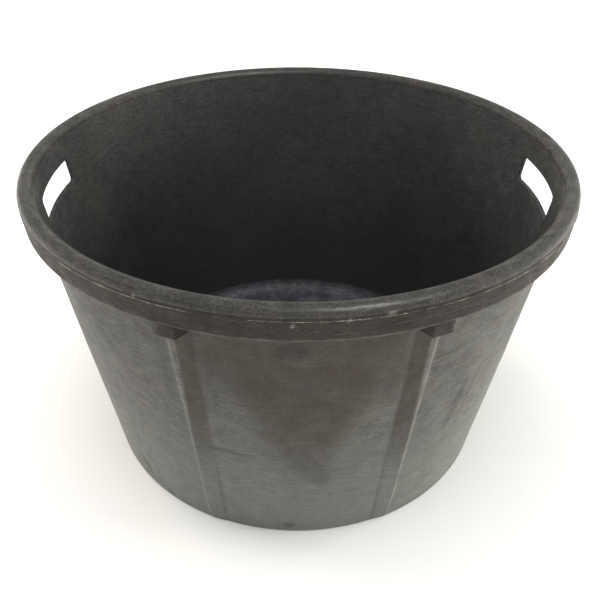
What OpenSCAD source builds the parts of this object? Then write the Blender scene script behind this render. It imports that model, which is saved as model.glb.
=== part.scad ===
// Round mortar mixing tub: one thick-walled moulding with a rolled rim and two hand holes.
// Millimetres, +Z up. The origin is the centre of the underside, where the tub stands.
// The hand holes lie along X and the front panel faces -Y.
// Azimuth is measured at the axis, from 0 at the front (-Y) towards 90 at the right (+X).

/* [Wall] */
// Outer radius of the wall where it meets the ground
base_r = 266.5; // [240:0.5:275]
// Lean of the wall away from the vertical, degrees
wall_lean = 7.94; // [7:0.02:8.4]
// Thickness of the wall, measured level
wall_t = 5; // [4.5:0.25:7]
// Thickness of the floor
floor_t = 7; // [5:0.5:9]
// Radius of the rounded edge that the tub stands on
foot_r = 3; // [1:0.5:3]
// Radius of the hollow between floor and wall, inside
heel_r = 22; // [12:1:30]

/* [Rim] */
// Height over the rim
overall_h = 395.5; // [390:0.5:400]
// Outer radius of the rim, at the moulding seam
rim_r = 334; // [330:0.5:338]
// How far the seam lies below the crown's widest line
seam_drop = 4.4; // [2:0.2:6]
// Height of the skirt, from its lower edge to the seam
skirt_h = 23; // [18:0.2:28]
// Thickness of the skirt at its lower edge
skirt_t = 4; // [3:0.25:6]
// How far the skirt draws in towards its lower edge
skirt_draft = 2; // [0:0.25:3]
// Height of the thin raised line along the seam
seam_h = 1.2; // [0.6:0.2:2]
// How far that line stands out
seam_out = 0.6; // [0.3:0.1:1]

/* [Hand holes] */
// Width of a hand hole
hole_w = 118; // [95:1:125]
// Height of a hand hole
hole_h = 30; // [26:1:36]
// Radius of its corners
hole_corner_r = 5; // [2:0.5:12]
// Wall left between the hole's upper edge and the level of the skirt's lower edge
hole_drop = 1; // [0:0.5:6]
// Arc of the raised grip pad outside each hole, degrees
pad_arc = 36; // [30:1:48]
// How far a grip pad's upright face stands out of the rim
pad_t = 1.4; // [1:0.2:5]

/* [Ribs and stacking lugs] */
// Azimuth where a rib's long slope leaves the front or back panel, degrees
rib_start = 19.8; // [17:0.2:20]
// Azimuth where the rib's strip meets the side panel, degrees
rib_end = 29; // [28.8:0.2:32]
// Azimuth of the ridge at the foot, degrees
ridge_foot = 24.4; // [23.6:0.1:24.6]
// Azimuth of the ridge at the rim, degrees
ridge_top = 23.1; // [22.4:0.1:24.6]
// Azimuth where the ridge's short outer flank meets the wall, degrees
ridge_end = 25.1; // [25:0.1:27]
// How far the ridge stands out of the side panel
ridge_out = 2.5; // [1:0.25:4]
// How far the front and back panels lie behind the side panels
panel_recess = 1.5; // [0:0.25:1.5]
// Azimuth of a lug's inner corner, at its outer face, degrees
lug_start = 21.1; // [20.4:0.1:22]
// Azimuth where its slanting inner flank runs into the wall, degrees
lug_root = 20; // [19.4:0.1:20.2]
// Azimuth of its outer flank, degrees
lug_end = 25.3; // [24:0.1:27]
// How far a lug hangs below the skirt
lug_drop = 16.5; // [10:0.5:22]

/* [Hidden] */

$fn = 180;

// Radius that the wall gains for each millimetre of height
wall_slope = tan(wall_lean);
// The crown is a half ring over the wall's top, and reaches from the wall's inner face to rim_r
crown_r = (rim_r - base_r + wall_t - wall_slope * overall_h) / (2 - wall_slope);
crown_z = overall_h - crown_r;
crown_mid_r = rim_r - crown_r;
channel_r = crown_r - wall_t;
// The skirt hangs from the seam
seam_z = crown_z - seam_drop;
skirt_z = seam_z - skirt_h;
skirt_foot_r = rim_r - skirt_draft;
hole_top = skirt_z - hole_drop;
edge_cut = 0.8;
// Something to cut with: past every face that it has to clear
clear = 40;

wall_grey = [0.30, 0.30, 0.28];
panel_brown = [0.28, 0.26, 0.23];
inside_black = [0.14, 0.14, 0.15];
rim_grey = [0.25, 0.25, 0.24];
seam_grey = [0.42, 0.41, 0.38];

// Outer and inner radius of the side wall at a height
function outer_r(z) = base_r + wall_slope * z;
function inner_r(z) = outer_r(z) - wall_t;

// A point on the tub's surface, from its azimuth, radius and height
function at(azimuth, r, z) = [r * sin(azimuth), -r * cos(azimuth), z];

// Turns a section drawn in radius and height about the axis, between two azimuths
module turned(from, to) {
    rotate([0, 0, from - 90])
        rotate_extrude(angle = to - from)
            children();
}

// Section of the wall, with the rounded outer edge that the tub stands on
module wall_section(recess) {
    foot_arc = [for (a = [-90 : 15 : 0])
        [outer_r(foot_r) - recess - foot_r + foot_r * cos(a), foot_r + foot_r * sin(a)]];
    polygon(concat(
        [[inner_r(0), 0]],
        foot_arc,
        [[outer_r(crown_z) - recess, crown_z], [inner_r(crown_z), crown_z]]
    ));
}

// The cone inside the wall
module wall_inside() {
    translate([0, 0, -1])
        cylinder(h = crown_z + 2, r1 = inner_r(-1), r2 = inner_r(crown_z + 1));
}

module floor_plate() {
    color(inside_black)
        cylinder(h = floor_t, r1 = inner_r(0), r2 = inner_r(floor_t));
}

// The ring of material that rounds the corner between floor and wall
module heel_fillet() {
    mid_z = floor_t + heel_r;
    mid_r = inner_r(mid_z) - heel_r / cos(wall_lean);
    steps = 8;
    hollow = [for (i = [0 : steps])
        let (a = -wall_lean - i * (90 - wall_lean) / steps)
        [mid_r + heel_r * cos(a), mid_z + heel_r * sin(a)]];
    color(inside_black)
        rotate_extrude()
            polygon(concat([[inner_r(floor_t), floor_t]], hollow));
}

module front_panel() {
    color(panel_brown)
        turned(-rib_start, rib_start)
            wall_section(panel_recess);
}

module back_panel() {
    color(panel_brown)
        turned(180 - rib_start, 180 + rib_start)
            wall_section(panel_recess);
}

// A round-cornered bar along +X that cuts a hand hole
module hand_hole_cut() {
    flat_w = hole_w - 2 * hole_corner_r;
    flat_h = hole_h - 2 * hole_corner_r;
    translate([base_r - clear, 0, hole_top - hole_h / 2])
        rotate([90, 0, 90])
            linear_extrude(height = rim_r - base_r + 2 * clear)
                union() {
                    square([hole_w, flat_h], center = true);
                    square([flat_w, hole_h], center = true);
                    for (side = [-1, 1], end = [-1, 1])
                        translate([side * flat_w / 2, end * flat_h / 2])
                            circle(r = hole_corner_r);
                }
}

module right_side_panel() {
    color(wall_grey)
        difference() {
            turned(rib_end, 180 - rib_end)
                wall_section(0);
            hand_hole_cut();
        }
}

module left_side_panel() {
    mirror([1, 0, 0])
        right_side_panel();
}

// The full wedge of a rib: a long slope up from the front panel, a ridge, and a short flank
// down to the side panel. Its ends lie in planes through the axis.
module rib_wedge() {
    deep = outer_r(0) - clear;
    function ring(ridge, z) = [
        at(rib_start, deep, z),
        at(rib_start, outer_r(z) - panel_recess, z),
        at(ridge, outer_r(z) + ridge_out, z),
        at(ridge_end, outer_r(z), z),
        at(rib_end, outer_r(z), z),
        at(rib_end, deep, z)
    ];
    corners = 6;
    polyhedron(
        points = concat(ring(ridge_foot, 0), ring(ridge_top, crown_z)),
        faces = concat(
            [[for (i = [0 : corners - 1]) i]],
            [[for (i = [corners - 1 : -1 : 0]) corners + i]],
            [for (i = [0 : corners - 1], half = [0, 1])
                let (next = (i + 1) % corners)
                half == 0 ? [i, corners + i, corners + next] : [i, corners + next, next]]
        )
    );
}

// Everything inside the tub's rounded foot edge; above it the cut widens, clear of the ridges
module foot_envelope() {
    foot_arc = [for (a = [-90 : 15 : 0])
        [outer_r(foot_r) - foot_r + foot_r * cos(a), foot_r + foot_r * sin(a)]];
    rotate_extrude()
        polygon(concat(
            [[0, 0]],
            foot_arc,
            [[outer_r(foot_r) + clear, foot_r + 2 * clear],
             [outer_r(crown_z) + clear, crown_z],
             [0, crown_z]]
        ));
}

module front_right_rib() {
    color(wall_grey)
        difference() {
            intersection() {
                rib_wedge();
                foot_envelope();
            }
            wall_inside();
        }
}

module front_left_rib() {
    mirror([1, 0, 0])
        front_right_rib();
}

module back_right_rib() {
    mirror([0, 1, 0])
        front_right_rib();
}

module back_left_rib() {
    mirror([1, 0, 0])
        back_right_rib();
}

// A block under the skirt that keeps nested tubs from jamming. Its outer face carries on the
// skirt's, and its inner flank slants so that the block is widest at the wall.
module front_right_stacking_lug() {
    lug_z = skirt_z - lug_drop;
    lug_foot_r = skirt_foot_r - skirt_draft * lug_drop / skirt_h;
    deep = outer_r(lug_z) - wall_t / 2;
    plan = [
        at(lug_start, rim_r, 0),
        at(lug_end, rim_r, 0),
        at(lug_end, deep, 0),
        at(lug_root, deep, 0)
    ];
    color(rim_grey)
        difference() {
            intersection() {
                turned(rib_start, rib_end)
                    polygon([
                        [deep, lug_z],
                        [lug_foot_r - edge_cut, lug_z],
                        [lug_foot_r, lug_z + edge_cut],
                        [skirt_foot_r, skirt_z],
                        [deep, skirt_z]
                    ]);
                linear_extrude(height = overall_h)
                    polygon([for (p = plan) [p.x, p.y]]);
            }
            rib_wedge();
        }
}

module front_left_stacking_lug() {
    mirror([1, 0, 0])
        front_right_stacking_lug();
}

module back_right_stacking_lug() {
    mirror([0, 1, 0])
        front_right_stacking_lug();
}

module back_left_stacking_lug() {
    mirror([1, 0, 0])
        back_right_stacking_lug();
}

// The half-round top of the rim, over the wall's upper edge and the channel behind the skirt
module rim_crown() {
    color(rim_grey)
        rotate_extrude()
            translate([crown_mid_r, crown_z])
                difference() {
                    circle(r = crown_r);
                    circle(r = channel_r);
                    translate([-2 * crown_r, -2 * crown_r])
                        square([4 * crown_r, 2 * crown_r]);
                }
}

// The outer leg of the rim, hanging clear of the wall
module rim_skirt() {
    color(rim_grey)
        rotate_extrude()
            polygon([
                [skirt_foot_r - skirt_t, skirt_z],
                [skirt_foot_r, skirt_z],
                [rim_r, seam_z],
                [rim_r, crown_z],
                [crown_mid_r + channel_r, crown_z]
            ]);
}

// The thin raised line where the two halves of the mould met
module seam_line() {
    color(seam_grey)
        rotate_extrude()
            polygon([
                [rim_r, seam_z],
                [rim_r + seam_out, seam_z + seam_h / 3],
                [rim_r + seam_out, seam_z + 2 * seam_h / 3],
                [rim_r, seam_z + seam_h]
            ]);
}

// The thickened stretch of skirt outside a hand hole
module right_grip_pad() {
    color(rim_grey)
        turned(90 - pad_arc / 2, 90 + pad_arc / 2)
            polygon([
                [skirt_foot_r, skirt_z],
                [rim_r + pad_t - edge_cut, skirt_z],
                [rim_r + pad_t, skirt_z + edge_cut],
                [rim_r + pad_t, seam_z - edge_cut],
                [rim_r + pad_t - edge_cut, seam_z],
                [rim_r, seam_z]
            ]);
}

module left_grip_pad() {
    mirror([1, 0, 0])
        right_grip_pad();
}

floor_plate();
heel_fillet();
front_panel();
back_panel();
left_side_panel();
right_side_panel();
front_left_rib();
front_right_rib();
back_left_rib();
back_right_rib();
front_left_stacking_lug();
front_right_stacking_lug();
back_left_stacking_lug();
back_right_stacking_lug();
rim_crown();
rim_skirt();
seam_line();
left_grip_pad();
right_grip_pad();
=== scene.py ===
import math

import bmesh
import bpy
from mathutils import Euler, Matrix, Vector, noise


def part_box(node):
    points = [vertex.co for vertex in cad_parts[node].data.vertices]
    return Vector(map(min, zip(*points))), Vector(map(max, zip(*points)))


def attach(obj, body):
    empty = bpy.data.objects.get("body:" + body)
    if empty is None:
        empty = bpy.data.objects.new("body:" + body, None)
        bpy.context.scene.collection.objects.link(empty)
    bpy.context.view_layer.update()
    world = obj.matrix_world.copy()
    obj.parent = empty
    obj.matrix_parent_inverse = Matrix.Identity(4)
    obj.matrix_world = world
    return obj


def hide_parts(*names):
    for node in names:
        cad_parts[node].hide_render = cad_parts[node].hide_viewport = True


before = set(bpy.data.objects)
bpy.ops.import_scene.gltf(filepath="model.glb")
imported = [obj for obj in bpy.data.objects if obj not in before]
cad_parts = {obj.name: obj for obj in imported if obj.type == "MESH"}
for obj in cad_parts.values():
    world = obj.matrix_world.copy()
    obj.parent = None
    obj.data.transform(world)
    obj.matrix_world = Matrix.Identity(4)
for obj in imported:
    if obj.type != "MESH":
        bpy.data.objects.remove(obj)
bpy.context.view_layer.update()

# ---------------------------------------------------------------------------------------------
# Sizes, in metres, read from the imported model
# ---------------------------------------------------------------------------------------------
MM = 0.001
TOP_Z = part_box("rim_crown")[1][2]
CROWN_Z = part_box("rim_crown")[0][2]
CROWN_R = TOP_Z - CROWN_Z
RIM_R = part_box("rim_crown")[1][1]
CROWN_MID_R = RIM_R - CROWN_R
WALL_TOP_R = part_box("right_side_panel")[1][0]
WALL_T = WALL_TOP_R - (CROWN_MID_R - CROWN_R)
FLOOR_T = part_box("floor_plate")[1][2]
FLOOR_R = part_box("floor_plate")[1][0]
WALL_SLOPE = (WALL_TOP_R - WALL_T - FLOOR_R) / (CROWN_Z - FLOOR_T)
WALL_LEAN = math.atan(WALL_SLOPE)
SKIRT_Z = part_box("rim_skirt")[0][2]
SEAM_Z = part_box("seam_line")[0][2]
SEAM_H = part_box("seam_line")[1][2] - SEAM_Z
SEAM_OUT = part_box("seam_line")[1][1] - RIM_R
PAD_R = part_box("right_grip_pad")[1][0]
PAD_HALF = math.degrees(math.asin(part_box("right_grip_pad")[1][1] / PAD_R))
LUG_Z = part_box("front_right_stacking_lug")[0][2]

# Sizes that the boxes don't show
SKIRT_T = 4 * MM
SKIRT_DRAFT = 2 * MM
FOOT_EDGE = 3 * MM
HEEL_R = 22 * MM
HOLE_W = 118 * MM
HOLE_H = 30 * MM
HOLE_CORNER = 5 * MM
HOLE_DROP = 1 * MM
HOLE_MID_Z = SKIRT_Z - HOLE_DROP - HOLE_H / 2
PANEL_RECESS = 1.5 * MM
RIDGE_OUT = 2.5 * MM

# Azimuths, in degrees from the front (-Y) towards the right (+X)
RIB_START = 19.8
RIB_END = 29.0
RIDGE_FOOT = 24.4
RIDGE_TOP = 23.1
RIDGE_END = 25.1
LUG_START = 21.1
LUG_ROOT = 20.0
LUG_END = 25.3

# How finely the meshes are divided
CELL = 3.5 * MM


def outer_r(z):
    return WALL_TOP_R - WALL_SLOPE * (CROWN_Z - z)


def inner_r(z):
    return outer_r(z) - WALL_T


def skirt_r(z):
    return RIM_R - SKIRT_DRAFT * (SEAM_Z - z) / (SEAM_Z - SKIRT_Z)


def lerp(a, b, t):
    return a + (b - a) * t


def smooth(edge0, edge1, x):
    t = min(max((x - edge0) / (edge1 - edge0), 0.0), 1.0)
    return t * t * (3 - 2 * t)


def spread(a, b, count):
    """count + 1 evenly spaced values from a to b."""
    return [lerp(a, b, i / count) for i in range(count + 1)]


# ---------------------------------------------------------------------------------------------
# The moulding is never quite true: the wall is a little wavy and the rim a little out of round
# ---------------------------------------------------------------------------------------------
WAVE = 0.6 * MM
WAVE_SCALE = 9
RIPPLE = 0.22 * MM
RIPPLE_SCALE = 38
RIPPLE_SHIFT = Vector((5, 1, 3))
RIPPLE_FADE = 30 * MM
OVAL = 0.8 * MM
OVAL_TURN = 0.9


def place(azimuth, r, z):
    """A point of the ideal shape, moved by the unevenness that every piece shares."""
    a = math.radians(azimuth)
    x, y = math.sin(a), -math.cos(a)
    at = Vector((x * r, y * r, z))
    height = min(max(z / TOP_Z, 0.0), 1.0)
    bulge = math.sin(math.pi * min(height, 0.98)) ** 0.5
    wave = WAVE * noise.noise(at * WAVE_SCALE) * bulge
    below_rim = 1 - smooth(SKIRT_Z - RIPPLE_FADE, SKIRT_Z, z)
    ripple = RIPPLE * noise.noise(at * RIPPLE_SCALE + RIPPLE_SHIFT) * below_rim
    oval = OVAL * height ** 2 * (math.cos(2 * a + OVAL_TURN) - 1) * 0.5
    r += wave + ripple + oval
    return (x * r, y * r, z)


# ---------------------------------------------------------------------------------------------
# Mesh building
# ---------------------------------------------------------------------------------------------
SHARP_ANGLE = math.radians(32)


def finish_piece(bm, materials, node, slot, bevel=None):
    """Turns bm into a shown piece that rides on the tub and stands for one CAD node."""
    name = node + "_finished"
    bmesh.ops.recalc_face_normals(bm, faces=bm.faces)
    for face in bm.faces:
        face.smooth = True
    for edge in bm.edges:
        if len(edge.link_faces) == 2 and edge.calc_face_angle() > SHARP_ANGLE:
            edge.smooth = False
    mesh = bpy.data.meshes.new(name)
    bm.to_mesh(mesh)
    bm.free()
    piece = bpy.data.objects.new(name, mesh)
    bpy.context.scene.collection.objects.link(piece)
    for material in materials:
        mesh.materials.append(material)
    if bevel:
        modifier = piece.modifiers.new("rounded_edges", "BEVEL")
        modifier.width = bevel
        modifier.segments = 3
        modifier.limit_method = "WEIGHT"
    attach(piece, "root")
    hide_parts(node)
    return piece


def slab(bm, outside, inside, columns, rows, hole=None):
    """A closed slab between two grids of points; hole = (column0, column1, row0, row1).

    outside and inside take (column, row). Outside faces get material 0, and inside faces and the
    hole's own faces get material 1. Returns the edges round the hole.
    """
    out = [[bm.verts.new(outside(i, k)) for k in range(rows + 1)] for i in range(columns + 1)]
    inn = [[bm.verts.new(inside(i, k)) for k in range(rows + 1)] for i in range(columns + 1)]

    def open_cell(i, k):
        return hole and hole[0] <= i < hole[1] and hole[2] <= k < hole[3]

    def quad(a, b, c, d, material):
        bm.faces.new((a, b, c, d)).material_index = material

    for i in range(columns):
        for k in range(rows):
            if open_cell(i, k):
                continue
            quad(out[i][k], out[i + 1][k], out[i + 1][k + 1], out[i][k + 1], 0)
            quad(inn[i][k], inn[i][k + 1], inn[i + 1][k + 1], inn[i + 1][k], 1)
    for i in range(columns):
        quad(out[i][0], inn[i][0], inn[i + 1][0], out[i + 1][0], 0)
        quad(out[i][rows], out[i + 1][rows], inn[i + 1][rows], inn[i][rows], 0)
    for k in range(rows):
        quad(out[0][k], out[0][k + 1], inn[0][k + 1], inn[0][k], 0)
        quad(out[columns][k], inn[columns][k], inn[columns][k + 1], out[columns][k + 1], 0)
    if not hole:
        return []
    c0, c1, r0, r1 = hole
    ring = [(i, r0) for i in range(c0, c1)] + [(c1, k) for k in range(r0, r1)]
    ring += [(i, r1) for i in range(c1, c0, -1)] + [(c0, k) for k in range(r1, r0, -1)]
    lips = []
    for (i, k), (j, m) in zip(ring, ring[1:] + ring[:1]):
        quad(out[i][k], out[j][m], inn[j][m], inn[i][k], 1)
        lips.append(bm.edges.get((out[i][k], out[j][m])))
        lips.append(bm.edges.get((inn[i][k], inn[j][m])))
    for i in range(c0 + 1, c1):
        for k in range(r0 + 1, r1):
            bm.verts.remove(out[i][k])
            bm.verts.remove(inn[i][k])
    return lips


def turned_ring(bm, outline_at, steps):
    """A closed ring: outline_at(azimuth) gives its closed outline as (radius, height) points."""
    rings = []
    for s in range(steps):
        azimuth = 360 * s / steps
        rings.append([bm.verts.new(place(azimuth, r, z)) for r, z in outline_at(azimuth)])
    for a, b in zip(rings, rings[1:] + rings[:1]):
        for k in range(len(a)):
            n = (k + 1) % len(a)
            bm.faces.new((a[k], b[k], b[n], a[n]))


def arc(mid_r, mid_z, radius, start, end, count):
    """Points (radius, height) of an arc in a turned outline, from angle start to end in degrees."""
    return [(mid_r + radius * math.cos(t), mid_z + radius * math.sin(t))
            for t in (math.radians(a) for a in spread(start, end, count))]


# ---------------------------------------------------------------------------------------------
# Materials
# ---------------------------------------------------------------------------------------------
class Shader:
    """A material's node tree, with one short call per node."""

    def __init__(self, name):
        self.material = bpy.data.materials.new(name)
        self.material.use_nodes = True
        self.tree = self.material.node_tree
        self.tree.nodes.clear()
        self.output = self.tree.nodes.new("ShaderNodeOutputMaterial")
        self.surface = self.tree.nodes.new("ShaderNodeBsdfPrincipled")
        self.tree.links.new(self.surface.outputs["BSDF"], self.output.inputs["Surface"])
        self.here = self.tree.nodes.new("ShaderNodeTexCoord").outputs["Object"]

    def link(self, value, socket):
        if isinstance(value, bpy.types.NodeSocket):
            self.tree.links.new(value, socket)
        else:
            socket.default_value = value

    def stretch(self, scale, turn=(0, 0, 0)):
        node = self.tree.nodes.new("ShaderNodeMapping")
        node.vector_type = "POINT"
        self.link(self.here, node.inputs["Vector"])
        node.inputs["Rotation"].default_value = [math.radians(t) for t in turn]
        node.inputs["Scale"].default_value = scale
        return node.outputs["Vector"]

    def noise(self, scale, detail=3.0, rough=0.5, where=None, distort=0.0):
        node = self.tree.nodes.new("ShaderNodeTexNoise")
        self.link(where or self.here, node.inputs["Vector"])
        node.inputs["Scale"].default_value = scale
        node.inputs["Detail"].default_value = detail
        node.inputs["Roughness"].default_value = rough
        node.inputs["Distortion"].default_value = distort
        return node.outputs["Fac"]

    def ramp(self, value, low, high, out_low=0.0, out_high=1.0):
        node = self.tree.nodes.new("ShaderNodeMapRange")
        node.interpolation_type = "SMOOTHSTEP"
        self.link(value, node.inputs["Value"])
        node.inputs["From Min"].default_value = low
        node.inputs["From Max"].default_value = high
        node.inputs["To Min"].default_value = out_low
        node.inputs["To Max"].default_value = out_high
        return node.outputs["Result"]

    def math(self, operation, a, b=0.0):
        node = self.tree.nodes.new("ShaderNodeMath")
        node.operation = operation
        self.link(a, node.inputs[0])
        self.link(b, node.inputs[1])
        return node.outputs[0]

    def mix(self, factor, a, b):
        node = self.tree.nodes.new("ShaderNodeMix")
        node.data_type = "RGBA"
        self.link(factor, node.inputs["Factor"])
        for value, socket in ((a, node.inputs["A"]), (b, node.inputs["B"])):
            self.link(value if isinstance(value, bpy.types.NodeSocket) else (*value, 1.0), socket)
        return node.outputs["Result"]

    def shade(self, color, factor):
        """The colour made lighter or darker."""
        node = self.tree.nodes.new("ShaderNodeVectorMath")
        node.operation = "SCALE"
        self.link(color, node.inputs["Vector"])
        self.link(factor, node.inputs["Scale"])
        return node.outputs["Vector"]

    def painted(self, attribute):
        node = self.tree.nodes.new("ShaderNodeAttribute")
        node.attribute_name = attribute
        return node.outputs["Fac"]

    def height(self):
        """The height above the ground."""
        node = self.tree.nodes.new("ShaderNodeSeparateXYZ")
        self.link(self.here, node.inputs["Vector"])
        return node.outputs["Z"]

    def bump(self, height, strength, distance):
        node = self.tree.nodes.new("ShaderNodeBump")
        node.inputs["Strength"].default_value = strength
        node.inputs["Distance"].default_value = distance
        self.link(height, node.inputs["Height"])
        return node.outputs["Normal"]

    def finish(self, color, roughness, normal, specular=0.5):
        self.link(color, self.surface.inputs["Base Color"])
        self.link(roughness, self.surface.inputs["Roughness"])
        self.link(normal, self.surface.inputs["Normal"])
        self.surface.inputs["Specular IOR Level"].default_value = specular
        return self.material


# The texture's repeats per metre. Streaks run level round the wall.
BLOTCH = 8.0
COLD_BLOTCH = 11.0
PATCH = 24.0
COLD_SPECKLE = 58.0
MOTTLE = 62.0
GRAIN = 560.0
STREAK = (60, 60, 560)
SCRATCH = (11, 11, 1100)
SCRATCH_CLUSTER = 9.0

# The heights, in metres, between which the wall fades to its foot colour: painted bounce light on the outer
# wall, painted shade inside
FADE_LOW = 0.12
FADE_HIGH = 0.38

# The finest texture's share is smaller in the pale foot
LOW_CONTRAST = 0.4
LOW_BUMP = 0.45

PALE_SCRATCH = (0.23, 0.22, 0.2)
# pale plastic for rubbed edges, and for the painted highlight on the ridges
RUBBED_AND_HIGHLIGHT = (0.21, 0.2, 0.18)


def scratches(s, turn, density=0.68):
    """Sparse fine lines, as thin sheets of noise cut by the surface."""
    lines = s.noise(1.0, 2.0, 0.6, s.stretch(SCRATCH, turn))
    cluster = s.noise(SCRATCH_CLUSTER, 2.0, 0.5, s.stretch((1, 1, 1), (turn[1], turn[2], turn[0])))
    return s.math("MULTIPLY", s.ramp(lines, density, density + 0.05), s.ramp(cluster, 0.5, 0.68))


def darker(color, share):
    return [channel * share for channel in color]


def worn_plastic(name, *, dark, light, film_and_shade, film_amount, rough, cold=None, low=None, contrast=1.0,
                 lined=0.35, specular=0.4):
    """Black plastic gone grey outdoors, streaked round the wall, with a brown film of dried earth.

    dark and light are the plastic's own range, cold the colour of its bluish patches, and low the colour
    that it fades to towards the ground: painted bounce light from the floor where low is paler, painted
    shade where low is darker. The film, stain and wear masks also carry painted shade and painted
    highlight. contrast scales the streaks and the grain, and lined the pale scratches.
    """
    s = Shader(name)
    broad = s.noise(BLOTCH, 4.0, 0.6)
    mottle = s.noise(MOTTLE, 5.0, 0.62)
    patch = s.noise(PATCH, 5.0, 0.68, distort=0.7)
    grain = s.noise(GRAIN, 2.0, 0.7)
    streak = s.noise(1.0, 4.0, 0.62, s.stretch(STREAK))

    # The plastic itself
    tone = s.math("ADD", s.math("MULTIPLY", broad, 0.5), s.math("MULTIPLY", mottle, 0.5))
    spread_tone = s.ramp(tone, 0.36, 0.64)
    color = s.mix(spread_tone, dark, light)
    if cold:
        bloom = s.math("MULTIPLY", s.noise(COLD_BLOTCH, 3.0, 0.6, distort=0.8),
                       s.noise(COLD_SPECKLE, 4.0, 0.65))
        color = s.mix(s.ramp(bloom, 0.2, 0.38, 0.0, 0.6), color, cold)
    texture = contrast
    # painted light and shade: the low colour pales the outer wall's foot as painted bounce light and
    # darkens the inside's lower part as painted shade
    if low:
        wander = s.math("ADD", s.height(), s.math("MULTIPLY", broad, 0.2))
        faded = s.mix(spread_tone, darker(low, 0.82), low)
        color = s.mix(s.ramp(wander, FADE_LOW, FADE_HIGH, 1.0, 0.0), color, faded)
        texture = s.ramp(wander, FADE_LOW, FADE_HIGH, LOW_CONTRAST * contrast, contrast)

    # Film and stains, with the painted shade that the film and stain masks also carry
    cover = s.math("MULTIPLY", s.painted("film_and_shade"), s.ramp(patch, 0.3, 0.6, 0.6, 1.0))
    cover = s.math("MULTIPLY", cover, s.ramp(streak, 0.3, 0.6, 0.8, 1.0))
    color = s.mix(s.math("MULTIPLY", cover, film_amount), color, film_and_shade)
    stain_and_shade = s.math("MULTIPLY", s.painted("stain_and_shade"), s.ramp(patch, 0.3, 0.6, 0.65, 0.9))
    color = s.mix(stain_and_shade, color, darker(film_and_shade, 0.5))

    # Streaks, grain, scratches, and rubbed edges with painted highlight
    color = s.shade(color, s.math("POWER", s.ramp(streak, 0.34, 0.66, 0.86, 1.15), texture))
    color = s.shade(color, s.math("POWER", s.ramp(grain, 0.3, 0.7, 0.7, 1.35), texture))
    lines = s.math("MAXIMUM", scratches(s, (24, 8, 0)), scratches(s, (-38, 12, 0)))
    lines = s.math("MAXIMUM", lines, scratches(s, (4, -3, 0)))
    color = s.mix(s.math("MULTIPLY", lines, lined), color, PALE_SCRATCH)
    scores = scratches(s, (2, 5, 40), 0.66)
    color = s.mix(s.math("MULTIPLY", scores, 0.5), color, darker(dark, 0.3))
    # the wear mask also brings painted highlight to the ridges' flanks and crests
    worn_and_lit = s.math("MULTIPLY", s.painted("wear_and_highlight"), s.ramp(mottle, 0.35, 0.62, 0.3, 1.0))
    color = s.mix(worn_and_lit, color, RUBBED_AND_HIGHLIGHT)

    # Relief and gloss
    height = s.math("ADD", s.math("MULTIPLY", grain, 0.3), s.math("MULTIPLY", streak, 0.5))
    height = s.math("ADD", height, s.math("MULTIPLY", mottle, 0.7))
    height = s.math("SUBTRACT", height, s.math("MULTIPLY", s.math("MAXIMUM", lines, scores), 0.4))
    if low:
        height = s.math("MULTIPLY", height, s.ramp(wander, FADE_LOW, FADE_HIGH, LOW_BUMP, 1.0))
    normal = s.bump(height, 0.45, 0.001)
    gloss = s.math("ADD", s.math("MULTIPLY", tone, 0.5), s.math("MULTIPLY", streak, 0.5))
    roughness = s.ramp(gloss, 0.36, 0.64, rough + 0.09, rough - 0.07)
    return s.finish(color, roughness, normal, specular)


WALL = worn_plastic(
    "wall_weathered_and_painted_light",
    dark=(0.045, 0.043, 0.037),
    light=(0.085, 0.081, 0.069),
    cold=(0.051, 0.062, 0.062),
    # painted bounce light from the floor: the wall is paler towards the ground
    low=(0.139, 0.142, 0.129),
    film_and_shade=(0.028, 0.0175, 0.008),
    film_amount=1.0,
    rough=0.5,
)
INSIDE = worn_plastic(
    "inside_worn_and_shaded",
    dark=(0.028, 0.028, 0.027),
    light=(0.046, 0.046, 0.046),
    cold=(0.025, 0.025, 0.034),
    # painted shade: the inside is darker towards its floor
    low=(0.026, 0.025, 0.028),
    film_and_shade=(0.037, 0.034, 0.029),
    film_amount=0.5,
    rough=0.5,
    contrast=1.4,
    lined=0.06,
)
# dust, and a painted bluish sheen of the light from above, make the floor paler than the inside wall
FLOOR = worn_plastic(
    "floor_dust_and_sheen",
    dark=(0.017, 0.017, 0.021),
    light=(0.064, 0.066, 0.075),
    cold=(0.034, 0.041, 0.060),
    film_and_shade=(0.068, 0.069, 0.071),
    film_amount=0.5,
    rough=0.55,
    contrast=2.0,
    lined=0.3,
    specular=0.36,
)
CROWN = worn_plastic(
    "crown_rubbed",
    dark=(0.022, 0.022, 0.021),
    light=(0.044, 0.042, 0.038),
    cold=(0.027, 0.030, 0.029),
    film_and_shade=(0.043, 0.034, 0.024),
    film_amount=0.6,
    rough=0.38,
    contrast=1.9,
    lined=0.3,
)
# painted shade: the skirt, its lugs and pads are much darker than the wall because the upright face takes
# less light; the brown tint is film
SKIRT = worn_plastic(
    "skirt_filmed_and_shaded",
    dark=(0.009, 0.007, 0.0045),
    light=(0.026, 0.019, 0.013),
    film_and_shade=(0.014, 0.008, 0.004),
    film_amount=0.75,
    rough=0.55,
    contrast=2.4,
    specular=0.35,
)
SEAM = worn_plastic(
    "seam_raw",
    dark=(0.038, 0.033, 0.027),
    light=(0.315, 0.285, 0.232),
    film_and_shade=(0.075, 0.056, 0.041),
    film_amount=0.3,
    rough=0.6,
    contrast=2.0,
)


# ---------------------------------------------------------------------------------------------
# Wall: panels, ribs and the hand holes
# ---------------------------------------------------------------------------------------------
def folded(azimuth):
    """The azimuth's mirror image in the front right quarter, 0 to 90."""
    a = abs((azimuth + 180) % 360 - 180)
    return 180 - a if a > 90 else a


def soft_min(a, b, k):
    """The smaller of a and b, with the change from one to the other rounded over about k."""
    return -k * math.log(math.exp(-a / k) + math.exp(-b / k))


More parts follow.
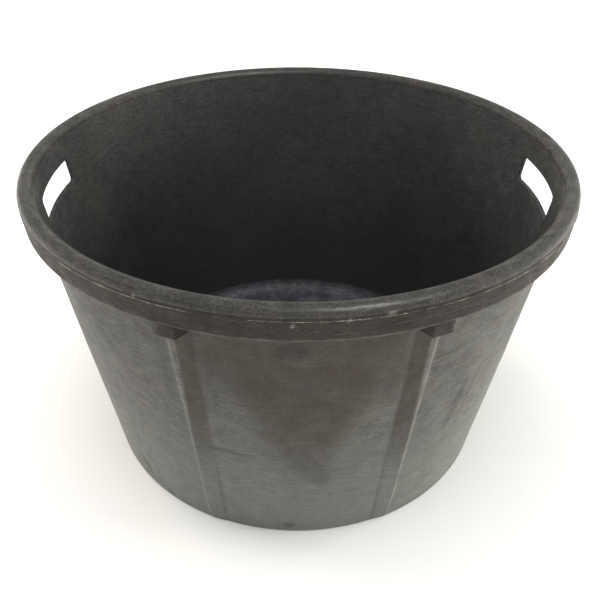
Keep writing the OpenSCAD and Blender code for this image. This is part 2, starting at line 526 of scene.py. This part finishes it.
# The ridge swings from its foot's azimuth to its top's between these heights
SWING_LOW = 0.14
SWING_HIGH = 0.36

# The ridge rises out of the foot over this height, from this share of its full height
RIDGE_RISE = 36 * MM
RIDGE_RISE_FROM = 0.25

# The outer flank falls this much per degree of azimuth, from the crest's far edge
FLANK_FALL = 2.6 * MM
FLANK_START = RIDGE_END - 0.9
FLANK_FOOT = RIDGE_END + 0.2

CREST_SOFTNESS = 0.13 * MM
FLANK_SOFTNESS = 0.2 * MM


def ridge_azimuth(z):
    """Where the long slope reaches the ridge's crest; the crest broadens towards the lug."""
    return lerp(RIDGE_FOOT, RIDGE_TOP, smooth(SWING_LOW, SWING_HIGH, z))


def relief(azimuth, z):
    """How far the outer face stands out of the plain cone."""
    a = folded(azimuth)
    if a >= RIB_END:
        return 0.0
    if a <= RIB_START:
        return -PANEL_RECESS
    ridge = ridge_azimuth(z)
    stand = RIDGE_OUT * lerp(RIDGE_RISE_FROM, 1.0, smooth(0, RIDGE_RISE, z))
    slope = lerp(-PANEL_RECESS, stand, (a - RIB_START) / (ridge - RIB_START))
    flank = stand - FLANK_FALL * (a - FLANK_START)
    body = soft_min(soft_min(slope, stand, CREST_SOFTNESS), flank, FLANK_SOFTNESS)
    return max(body, 0.0) if a > ridge else body


def run_through(stops, counts):
    """Values that run through the stops, with counts steps between them, and each stop's index."""
    values = [stops[0]]
    indices = [0]
    for a, b, count in zip(stops, stops[1:], counts):
        values += spread(a, b, count)[1:]
        indices.append(len(values) - 1)
    return values, indices


FOOT_ZONE = 45 * MM


def heights():
    """Rows of the wall's grid, from the ground up, and the rows along the hole's two long edges."""
    foot = [FOOT_EDGE * (1 - math.cos(math.radians(a))) for a in spread(0, 90, 4)]
    hole_low = HOLE_MID_Z - HOLE_H / 2
    hole_high = HOLE_MID_Z + HOLE_H / 2
    margin = 2 * CELL
    stops = [foot[-1], FOOT_ZONE, hole_low - margin, hole_low, hole_low + HOLE_CORNER,
             hole_high - HOLE_CORNER, hole_high, hole_high + margin, CROWN_Z]
    counts = [12, round((stops[2] - stops[1]) / CELL), 3, 4, 6, 4, 3, 6]
    rows, at = run_through(stops, counts)
    below = len(foot) - 1
    return foot[:-1] + rows, at[3] + below, at[6] + below


ROWS, HOLE_LOW_ROW, HOLE_HIGH_ROW = heights()


def foot_inset(z):
    """How far the rounded foot draws in from the wall's face."""
    if z >= FOOT_EDGE:
        return 0.0
    return FOOT_EDGE - math.sqrt(max(FOOT_EDGE ** 2 - (FOOT_EDGE - z) ** 2, 0.0))


def wall_out(azimuth, z):
    return place(azimuth, outer_r(z) + relief(azimuth, z) - foot_inset(z), z)


def wall_in(azimuth, z):
    return place(azimuth, inner_r(z), z)


def paint(piece, film_and_shade_at, wear_and_highlight_at=None, stain_and_shade_at=None):
    """Gives each point its share of brown film, of rubbed, paler plastic and of dark stain; the same masks
    carry painted shade on the ribs' slopes and under the lugs, and painted highlight on the ridges.
    """
    mesh = piece.data
    for name, at in (("film_and_shade", film_and_shade_at), ("wear_and_highlight", wear_and_highlight_at), ("stain_and_shade", stain_and_shade_at)):
        if at:
            layer = mesh.attributes.new(name, "FLOAT", "POINT")
            for i, v in enumerate(mesh.vertices):
                layer.data[i].value = at(v.co)


def drift(co):
    """A wandering number, about -0.4 to 0.4, that breaks up an edge between two finishes."""
    return noise.noise(co * 14) * 0.5 + noise.noise(co * 37) * 0.25


def wall_azimuth(co):
    return math.degrees(math.atan2(co.x, -co.y))


def on_outer_face(co):
    return math.hypot(co.x, co.y) > inner_r(co.z) + WALL_T / 4


# The film's lower border, in the middle of the panel and beside the ribs
FILM_LOW_MIDDLE = 0.15
FILM_LOW_SIDE = 0.27


def wall_film_and_shade(co):
    """The film covers the front and back panels' upper part, lowest in the middle; the ribs' slopes, which
    face away from the light, and the crease at each slope's foot take the same dark brown as painted shade.
    """
    if not on_outer_face(co):
        return 0.6 + 0.8 * noise.noise(co * 12)
    a = folded(wall_azimuth(co))
    border = lerp(FILM_LOW_MIDDLE, FILM_LOW_SIDE, smooth(3, 17, a)) + 0.07 * drift(co)
    high = smooth(border - 0.05, border + 0.07, co.z)
    near = 1 - smooth(RIB_START - 2, RIB_START + 1, a + 2 * drift(co))
    panel = high * lerp(0.12, 1.0, near)
    # painted shade: the ribs' slopes face away from the light
    past_foot = smooth(RIB_START - 0.4, RIB_START + 0.6, a)
    before_crest = 1 - smooth(-0.5, 0.1, a - ridge_azimuth(co.z))
    slope = past_foot * before_crest * smooth(0.08, 0.25, co.z)
    # painted shade along the crease at each slope's foot
    crease = 1 - smooth(0.1, 0.7, abs(a - RIB_START - 0.3))
    return max(panel, slope, crease * lerp(0.35, 0.9, high))


# Stains and painted shade: azimuth, height, half width, half height, lean (sideways run per height) and
# depth; the two rows under the front lugs are painted shade
STAINS_AND_SHADE = (
    (-2.1, 329 * MM, 16 * MM, 12 * MM, 0.0, 1.0),
    (0.5, 150 * MM, 20 * MM, 58 * MM, -0.5, 0.4),
    (-2.6, 15 * MM, 8 * MM, 6 * MM, 0.0, 0.6),
    (-16.0, 158 * MM, 34 * MM, 2.5 * MM, 0.0, 0.6),
    # painted shade below the front lugs' inner corners, where the skirt and lugs shade the wall
    (-20.7, 326 * MM, 6 * MM, 24 * MM, 0.0, 0.5),
    (22.2, 319 * MM, 5 * MM, 24 * MM, 0.0, 0.45),
    (29.0, 292 * MM, 18 * MM, 2.5 * MM, -2.0, 0.8),
    (37.0, 190 * MM, 7 * MM, 44 * MM, 0.15, 0.55),
    (41.0, 200 * MM, 4 * MM, 36 * MM, 0.15, 0.45),
    (-47.0, 38 * MM, 8 * MM, 18 * MM, -0.6, 0.55),
    (-38.5, 10 * MM, 8 * MM, 7 * MM, 0.0, 0.5),
    (-38.0, 205 * MM, 8 * MM, 4 * MM, 0.0, 0.5),
    (171.0, 240 * MM, 26 * MM, 40 * MM, 0.3, 0.4),
    (188.0, 90 * MM, 34 * MM, 14 * MM, 0.0, 0.4),
    (118.0, 60 * MM, 30 * MM, 12 * MM, 0.0, 0.4),
    (-96.0, 140 * MM, 10 * MM, 50 * MM, 0.4, 0.35),
    (-132.0, 70 * MM, 24 * MM, 10 * MM, 0.0, 0.45),
)


def wall_stain_and_shade(co):
    if not on_outer_face(co):
        return 0.0
    a = wall_azimuth(co)
    deepest = 0.0
    for azimuth, z, half_w, half_h, lean, depth in STAINS_AND_SHADE:
        up = co.z - z
        across = math.radians((a - azimuth + 180) % 360 - 180) * outer_r(co.z) - lean * up
        away = math.hypot(across / half_w, up / half_h) + (1 - depth) * 1.5 * drift(co)
        deepest = max(deepest, depth * (1 - smooth(lerp(0.4, 0.85, depth), 1.1, away)))
    return deepest


def wall_highlight_and_wear(co):
    """The ridges' outer flanks get the palest painted highlight and their crests a fainter one; the foot is
    rubbed pale.
    """
    if not on_outer_face(co):
        return 0.0
    a = folded(wall_azimuth(co))
    past_crest = smooth(FLANK_START - 0.1, FLANK_START + 0.4, a)
    before_wall = 1 - smooth(RIDGE_END - 0.1, RIDGE_END + 0.4, a)
    past_slope = smooth(-0.2, 0.2, a - ridge_azimuth(co.z))
    before_flank = 1 - smooth(FLANK_START, RIDGE_END, a)
    foot = 1 - smooth(0.5 * MM, 3.5 * MM, co.z)
    # painted highlight on the ridges' outer flanks and crests; the paler foot is wear
    return max(0.38 * past_crest * before_wall, 0.22 * past_slope * before_flank, 0.5 * foot)


def finish_wall(bm, node, slot, bevel=None):
    piece = finish_piece(bm, (WALL, INSIDE), node, slot, bevel)
    paint(piece, wall_film_and_shade, wall_highlight_and_wear, wall_stain_and_shade)


CELL_ARC = math.degrees(CELL / RIM_R)
HOLE_HALF_ARC = math.degrees(math.asin(HOLE_W / 2 / inner_r(HOLE_MID_Z)))
HOLE_CORNER_ARC = math.degrees(HOLE_CORNER / inner_r(HOLE_MID_Z))
HOLE_BEVEL = 1.6 * MM


def plain_panel(node, start, end):
    columns = spread(start, end, round((end - start) / CELL_ARC))
    bm = bmesh.new()
    slab(bm, lambda i, k: wall_out(columns[i], ROWS[k]), lambda i, k: wall_in(columns[i], ROWS[k]),
         len(columns) - 1, len(ROWS) - 1)
    finish_wall(bm, node, "stained_wall")


def on_hole_edge(azimuth, z, mid):
    """A point of the grid on the hole's square outline, moved onto its rounded corner."""
    u = (azimuth - mid) / HOLE_HALF_ARC * HOLE_W / 2
    v = z - HOLE_MID_Z
    straight_u = HOLE_W / 2 - HOLE_CORNER
    straight_v = HOLE_H / 2 - HOLE_CORNER
    past_u = abs(u) - straight_u
    past_v = abs(v) - straight_v
    if past_u > 0 and past_v > 0:
        turn = math.atan2(past_v, past_u)
        u = math.copysign(straight_u + HOLE_CORNER * math.cos(turn), u)
        v = math.copysign(straight_v + HOLE_CORNER * math.sin(turn), v)
    return mid + u / (HOLE_W / 2) * HOLE_HALF_ARC, HOLE_MID_Z + v


def panel_with_hole(node, start, end):
    mid = (start + end) / 2
    left = mid - HOLE_HALF_ARC
    right = mid + HOLE_HALF_ARC
    margin = 2 * CELL_ARC
    stops = [start, left - margin, left, left + HOLE_CORNER_ARC,
             right - HOLE_CORNER_ARC, right, right + margin, end]
    counts = [round((stops[1] - start) / CELL_ARC), 3, 4, round((stops[4] - stops[3]) / CELL_ARC),
              4, 3, round((end - stops[6]) / CELL_ARC)]
    columns, at = run_through(stops, counts)
    left_column, right_column = at[2], at[5]

    def grid(i, k):
        across = left_column <= i <= right_column
        upright = HOLE_LOW_ROW <= k <= HOLE_HIGH_ROW
        on_side = i in (left_column, right_column) and upright
        on_level = k in (HOLE_LOW_ROW, HOLE_HIGH_ROW) and across
        if on_side or on_level:
            return on_hole_edge(columns[i], ROWS[k], mid)
        return columns[i], ROWS[k]

    bm = bmesh.new()
    weight = bm.edges.layers.float.new("bevel_weight_edge")
    lips = slab(bm, lambda i, k: wall_out(*grid(i, k)), lambda i, k: wall_in(*grid(i, k)),
                len(columns) - 1, len(ROWS) - 1,
                (left_column, right_column, HOLE_LOW_ROW, HOLE_HIGH_ROW))
    for edge in lips:
        edge[weight] = 1.0
    finish_wall(bm, node, "weathered_wall", HOLE_BEVEL)


def rib(node, side, back):
    """The strip of wall that carries a ridge; its grid lines follow the ridge."""
    def columns(z):
        stops = [RIB_START, ridge_azimuth(z), FLANK_START, FLANK_FOOT, RIB_END]
        return run_through(stops, [12, 4, 7, 6])[0]

    grid = [[side * (180 - a if back else a) for a in columns(z)] for z in ROWS]
    bm = bmesh.new()
    slab(bm, lambda i, k: wall_out(grid[k][i], ROWS[k]), lambda i, k: wall_in(grid[k][i], ROWS[k]),
         len(grid[0]) - 1, len(ROWS) - 1)
    finish_wall(bm, node, "weathered_wall")


# The four quarters: the words in their pieces' names, the side (-1 is left) and whether at the back
QUARTERS = (
    ("front_left", -1, False),
    ("front_right", 1, False),
    ("back_left", -1, True),
    ("back_right", 1, True),
)

plain_panel("front_panel", -RIB_START, RIB_START)
plain_panel("back_panel", 180 - RIB_START, 180 + RIB_START)
panel_with_hole("right_side_panel", RIB_END, 180 - RIB_END)
panel_with_hole("left_side_panel", 180 + RIB_END, 360 - RIB_END)
for where, side, back in QUARTERS:
    rib(where + "_rib", side, back)


# ---------------------------------------------------------------------------------------------
# Floor and heel
# ---------------------------------------------------------------------------------------------
HEEL_MID_Z = FLOOR_T + HEEL_R
HEEL_MID_R = inner_r(HEEL_MID_Z) - HEEL_R / math.cos(WALL_LEAN)


FLOOR_SAG = 0.8 * MM
FLOOR_FIRST_RING = 0.008
FLOOR_STEPS = 180
TUCK = 0.5 * MM


def floor_z(r):
    """The floor's upper face sags a touch towards the middle."""
    return FLOOR_T - FLOOR_SAG * (1 - smooth(0.05, 0.24, r))


def even_film(level):
    return lambda co: level * (0.6 + 0.8 * noise.noise(co * 12))


def build_floor():
    bm = bmesh.new()

    def circle(r, z):
        return [bm.verts.new(place(360 * s / FLOOR_STEPS, r, z)) for s in range(FLOOR_STEPS)]

    top, low = [], []
    for r in spread(FLOOR_FIRST_RING, HEEL_MID_R, 44):
        top.append(circle(r, floor_z(r)))
        low.append(circle(r, 0.0))
    top.append(circle(FLOOR_R - TUCK, FLOOR_T - 0.2 * MM))
    low.append(circle(inner_r(0), 0.0))
    mid_top = bm.verts.new((0, 0, floor_z(0)))
    mid_low = bm.verts.new((0, 0, 0))
    for s in range(FLOOR_STEPS):
        n = (s + 1) % FLOOR_STEPS
        bm.faces.new((mid_top, top[0][s], top[0][n]))
        bm.faces.new((mid_low, low[0][n], low[0][s]))
        for a, b in zip(top, top[1:]):
            bm.faces.new((a[s], b[s], b[n], a[n]))
        for a, b in zip(low, low[1:]):
            bm.faces.new((a[s], a[n], b[n], b[s]))
        bm.faces.new((top[-1][s], low[-1][s], low[-1][n], top[-1][n]))
    piece = finish_piece(bm, (FLOOR,), "floor_plate", "inside")
    paint(piece, even_film(0.6))


def heel_outline():
    curve = arc(HEEL_MID_R, HEEL_MID_Z, HEEL_R, -math.degrees(WALL_LEAN), -90, 16)
    last_r = curve[-1][0]
    curve[-1] = (last_r, floor_z(last_r))
    under_z = FLOOR_T - 1 * MM
    return curve + [(HEEL_MID_R + 2 * MM, under_z), (inner_r(FLOOR_T), under_z)]


def build_heel():
    outline = heel_outline()
    bm = bmesh.new()
    turned_ring(bm, lambda azimuth: outline, 360)
    piece = finish_piece(bm, (FLOOR,), "heel_fillet", "inside")
    paint(piece, even_film(0.6))


build_floor()
build_heel()


# ---------------------------------------------------------------------------------------------
# Rim: crown, skirt, seam line and grip pads
# ---------------------------------------------------------------------------------------------
def crown_outline():
    outer = arc(CROWN_MID_R, CROWN_Z, CROWN_R, 0, 180, 26)
    under = arc(CROWN_MID_R, CROWN_Z, CROWN_R - WALL_T, 180, 0, 10)
    return outer + under


SKIRT_EDGE = 0.9 * MM


def skirt_outline():
    foot_r = RIM_R - SKIRT_DRAFT
    edge_z = SKIRT_Z + SKIRT_EDGE
    edge = arc(foot_r - SKIRT_EDGE, edge_z, SKIRT_EDGE, -90, 0, 4)
    face = [(skirt_r(z), z) for z in spread(edge_z, SEAM_Z, 9)[1:]]
    back = [(lerp(RIM_R - WALL_T, foot_r - SKIRT_T, t), lerp(CROWN_Z, SKIRT_Z, t))
            for t in spread(0, 1, 4)]
    return edge + face + [(RIM_R, CROWN_Z)] + back


def seam_outline(azimuth):
    """The flash line stands out unevenly, and is torn off here and there."""
    a = math.radians(azimuth)
    at = Vector((math.sin(a), math.cos(a), 0.3))
    full = 0.45
    for amount, scale in ((0.8, 17), (0.7, 60), (0.5, 190)):
        full += amount * noise.noise(at * scale)
    full = min(max(full, 0.06), 1.0)
    half = SEAM_H / 2 * lerp(0.3, 1.0, full)
    out = SEAM_OUT * lerp(0.1, 1.0, full)
    mid = SEAM_Z + SEAM_H / 2 + 0.2 * MM * noise.noise(at * 13)
    return [(RIM_R - TUCK, mid - half), (RIM_R + out * 0.8, mid - half * 0.6), (RIM_R + out, mid),
            (RIM_R + out * 0.8, mid + half * 0.6), (RIM_R - TUCK, mid + half)]


# Small chips in the skirt and the crown: azimuth, height, half width and half height
CHIPS = (
    (-1.9, SEAM_Z - 4.0 * MM, 2.8 * MM, 2.2 * MM),
    (6.6, SEAM_Z - 0.5 * MM, 2.8 * MM, 2.0 * MM),
    (13.2, SEAM_Z + 5 * MM, 5 * MM, 1.6 * MM),
    (-27.5, SEAM_Z + 3 * MM, 2.4 * MM, 2.2 * MM),
    (52.0, SEAM_Z - 6 * MM, 3 * MM, 2.0 * MM),
    (164.0, SEAM_Z - 3 * MM, 4 * MM, 2.0 * MM),
    (-118.0, SEAM_Z + 2 * MM, 3 * MM, 2.0 * MM),
)


def chipped(co):
    a = wall_azimuth(co)
    deepest = 0.0
    for azimuth, z, half_w, half_h in CHIPS:
        across = math.radians((a - azimuth + 180) % 360 - 180) * RIM_R
        deepest = max(deepest, 1 - smooth(0.4, 1.1, math.hypot(across / half_w, (co.z - z) / half_h)))
    return deepest


def skirt_wear(co):
    """The skirt's lower edge is rubbed pale."""
    return max(0.6 * (1 - smooth(0.4 * MM, 1.6 * MM, co.z - SKIRT_Z)), chipped(co))


def seam_wear(co):
    return smooth(0.1, 0.4, noise.noise(co * 60)) * 0.6


def build_rim():
    crown = crown_outline()
    skirt = skirt_outline()
    for node, outline_at, steps, material, slot, film_and_shade, wear_and_highlight in (
            ("rim_crown", lambda azimuth: crown, 720, CROWN, "rim", 0.6, chipped),
            ("rim_skirt", lambda azimuth: skirt, 720, SKIRT, "skirt", 0.9, skirt_wear),
            ("seam_line", seam_outline, 1800, SEAM, "seam", 0.5, seam_wear)):
        bm = bmesh.new()
        turned_ring(bm, outline_at, steps)
        piece = finish_piece(bm, (material,), node, slot)
        paint(piece, even_film(film_and_shade), wear_and_highlight)


build_rim()


def block(bm, corners_low, corners_high, cuts):
    """A six-sided block from four low and four high corners, divided cuts times each way."""
    weight = bm.edges.layers.float.new("bevel_weight_edge")
    verts = [bm.verts.new(c) for c in corners_low + corners_high]
    bm.faces.new(verts[3::-1])
    bm.faces.new(verts[4:])
    for i in range(4):
        n = (i + 1) % 4
        bm.faces.new((verts[i], verts[n], verts[n + 4], verts[i + 4]))
    for edge in bm.edges:
        edge[weight] = 1.0
    bmesh.ops.subdivide_edges(bm, edges=bm.edges[:], cuts=cuts, use_grid_fill=True)


def lug_wear(co):
    """The lug's outer upright edge is rubbed pale."""
    return 0.55 * smooth(LUG_END - 0.9, LUG_END - 0.4, folded(wall_azimuth(co)))


LUG_BEVEL = 1.3 * MM
LUG_CUTS = 5


def build_lug(node, side, back):
    def at(azimuth, r, z):
        a = side * azimuth
        return place(180 - a if back else a, r, z)

    def ring(z, face_r):
        deep = outer_r(z) - 1 * MM
        corners = ((LUG_START, face_r), (LUG_END, face_r), (LUG_END, deep), (LUG_ROOT, deep))
        return [at(azimuth, r, z) for azimuth, r in corners]

    bm = bmesh.new()
    low = ring(LUG_Z, skirt_r(LUG_Z))
    high = ring(SKIRT_Z + TUCK, RIM_R - SKIRT_DRAFT)
    block(bm, low, high, LUG_CUTS)
    piece = finish_piece(bm, (SKIRT,), node, "rim", LUG_BEVEL)
    paint(piece, even_film(0.9), lug_wear)


for where, side, back in QUARTERS:
    build_lug(where + "_stacking_lug", side, back)


# The pad's ends ramp down over this arc, and its upper and lower edges over these shares
PAD_RAMP = 0.9
PAD_RAMP_FROM = 0.25
PAD_LIP = (0.75, 0.95, 1.0)


def build_pad(node, side):
    """The raised stretch of skirt; its ends ramp down over a few millimetres."""
    ends = [PAD_HALF - a for a in spread(0, PAD_RAMP, 3)]
    flat = PAD_HALF - 1.3
    columns = [-a for a in ends] + spread(-flat, flat, 56) + ends[::-1]
    rows = spread(SKIRT_Z + 0.2 * MM, SEAM_Z, 10)

    def out(i, k):
        ramp = lerp(PAD_RAMP_FROM, 1.0, smooth(0, PAD_RAMP, PAD_HALF - abs(columns[i])))
        lip = PAD_LIP[min(k, len(rows) - 1 - k, len(PAD_LIP) - 1)]
        r = skirt_r(rows[k])
        return place(side * 90 + columns[i], r + (PAD_R - r) * ramp * lip, rows[k])

    def inn(i, k):
        return place(side * 90 + columns[i], skirt_r(rows[k]) - TUCK, rows[k])

    bm = bmesh.new()
    slab(bm, out, inn, len(columns) - 1, len(rows) - 1)
    for face in bm.faces:
        face.material_index = 0
    piece = finish_piece(bm, (SKIRT,), node, "skirt")
    paint(piece, even_film(0.7), skirt_wear)


build_pad("left_grip_pad", -1)
build_pad("right_grip_pad", 1)


# ---------------------------------------------------------------------------------------------
# Stage: pale floor, soft light and the camera
# ---------------------------------------------------------------------------------------------
STAGE_HALF = 14


def build_floor_stage():
    s = Shader("studio_floor")
    cloud = s.noise(1.3, 3.0, 0.5)
    color = s.mix(s.ramp(cloud, 0.3, 0.7), (0.80, 0.80, 0.79), (0.84, 0.84, 0.83))
    s.finish(color, 0.85, s.bump(s.noise(240.0), 0.02, 0.001), 0.2)
    mesh = bpy.data.meshes.new("studio_floor")
    corners = [(-1, -1), (1, -1), (1, 1), (-1, 1)]
    mesh.from_pydata([(x * STAGE_HALF, y * STAGE_HALF, 0) for x, y in corners], [], [(0, 1, 2, 3)])
    mesh.materials.append(s.material)
    floor = bpy.data.objects.new("studio_floor", mesh)
    bpy.context.scene.collection.objects.link(floor)


def softbox(name, where, size, power, tint=(1, 1, 1), fills=True, shines=True):
    """A soft light aimed at the tub: it fills the surfaces, leaves highlights on them, or both."""
    light = bpy.data.lights.new(name, "AREA")
    light.shape = "RECTANGLE"
    light.size, light.size_y = size
    light.energy = power
    light.color = tint
    lamp = bpy.data.objects.new(name, light)
    lamp.location = where
    lamp.visible_diffuse = fills
    lamp.visible_glossy = shines
    towards_tub = Vector((0, 0, TOP_Z / 2)) - Vector(where)
    lamp.rotation_euler = towards_tub.to_track_quat("-Z", "Y").to_euler()
    bpy.context.scene.collection.objects.link(lamp)


def build_light():
    world = bpy.data.worlds.new("studio")
    world.use_nodes = True
    background = world.node_tree.nodes["Background"]
    background.inputs["Color"].default_value = (1.0, 1.0, 0.985, 1)
    background.inputs["Strength"].default_value = 0.7
    bpy.context.scene.world = world
    softbox("left_softbox", (-4.6, 3.0, 1.4), (4.0, 2.5), 420, (1.0, 0.92, 0.8), shines=False)
    softbox("right_softbox", (5.4, 0.9, 1.2), (4.0, 2.1), 515, (1.0, 0.97, 0.9), shines=False)
    softbox("top_softbox", (-0.3, -0.5, 3.4), (2.2, 2.2), 66, shines=False)
    softbox("key_softbox", (0.85, -1.3, 2.2), (0.4, 0.4), 32, fills=False)


def build_camera():
    """The photographer's place: nearly straight in front, looking down over the rim."""
    azimuth = math.radians(-1.47)
    turn = math.radians(-0.35)
    pitch = math.radians(35.57)
    roll = math.radians(-0.15)
    distance = 816.2 * MM
    height = 751 * MM
    data = bpy.data.cameras.new("camera")
    data.lens = 42.3
    data.sensor_width = 36
    data.shift_x = 0.0252
    camera = bpy.data.objects.new("camera", data)
    camera.location = (distance * math.sin(azimuth), -distance * math.cos(azimuth), height)
    aim = Euler((math.pi / 2 - pitch, 0, turn)).to_matrix() @ Matrix.Rotation(roll, 3, "Z")
    camera.rotation_euler = aim.to_euler()
    bpy.context.scene.collection.objects.link(camera)
    bpy.context.scene.camera = camera


build_floor_stage()
build_light()
build_camera()
bpy.context.scene.view_settings.view_transform = "Standard"
